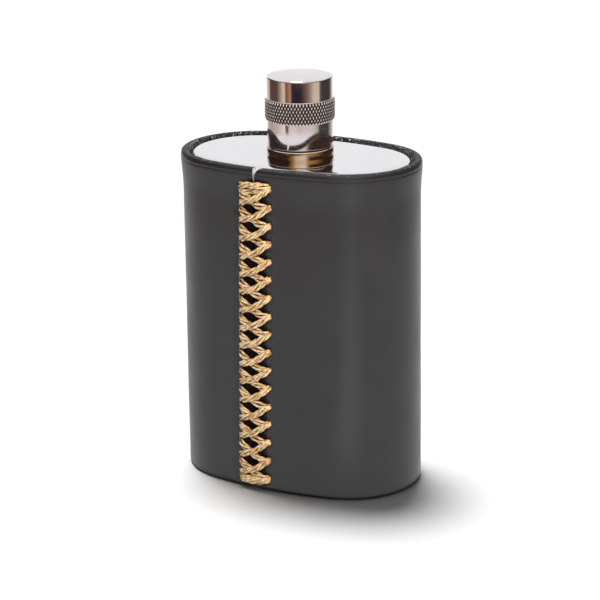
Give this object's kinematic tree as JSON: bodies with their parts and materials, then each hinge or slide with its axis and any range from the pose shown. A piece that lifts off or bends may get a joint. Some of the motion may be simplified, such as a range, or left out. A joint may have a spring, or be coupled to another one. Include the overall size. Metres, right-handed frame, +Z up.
{
  "type": "hip flask",
  "caption": "Oval pocket flask in a laced leather sleeve, with a polished top plate and a screw cap with a knurled grip band.",
  "frame": {"origin": "centre of the base, on the surface that the flask stands on", "axes": "+Z up along the neck, +X along the wide side, -Y out of the laced front"},
  "size_m": [0.0736, 0.0478, 0.1207],
  "materials": {
    "black_leather": "smooth, waxed, matte",
    "waxed_cord": "waxed, flattened plies",
    "polished_steel": "mirror polished",
    "vessel_steel": "brushed",
    "cap_bronze": "polished, darkened",
    "seal_rubber": "soft, matte",
    "liner_plastic": "moulded, satin"
  },
  "bodies": {
    "flask": {"body_shell": "vessel_steel", "base_plate": "vessel_steel", "top_plate": "polished_steel", "neck_collar": "cap_bronze", "neck_spout": "cap_bronze", "leather_sleeve": "black_leather", "lacing_cord": "waxed_cord"},
    "seal": {"cap_seal": "seal_rubber"},
    "slip_disc": {"cap_slip_disc": "liner_plastic"},
    "cap": {"cap_liner": "liner_plastic", "cap_shell": "cap_bronze", "cap_grip_ring": "cap_bronze"}
  },
  "joints": [
    {"name": "cap_lift", "type": "slide", "parent": "flask", "child": "seal", "axis": [0, 0, 1], "range_m": [0, 0.035]},
    {"name": "cap_rise", "type": "slide", "parent": "seal", "child": "slip_disc", "axis": [0, 0, 1], "range_m": [0, 0.004]},
    {"name": "cap_turn", "type": "hinge", "parent": "slip_disc", "child": "cap", "pos_m": [0, 0, 0.11], "axis": [0, 0, 1], "range_deg": [0, 720]}
  ],
  "couplings": [
    {"joint": "cap_rise", "follows": "cap_turn", "m_per_rad": 0.0003183}
  ]
}
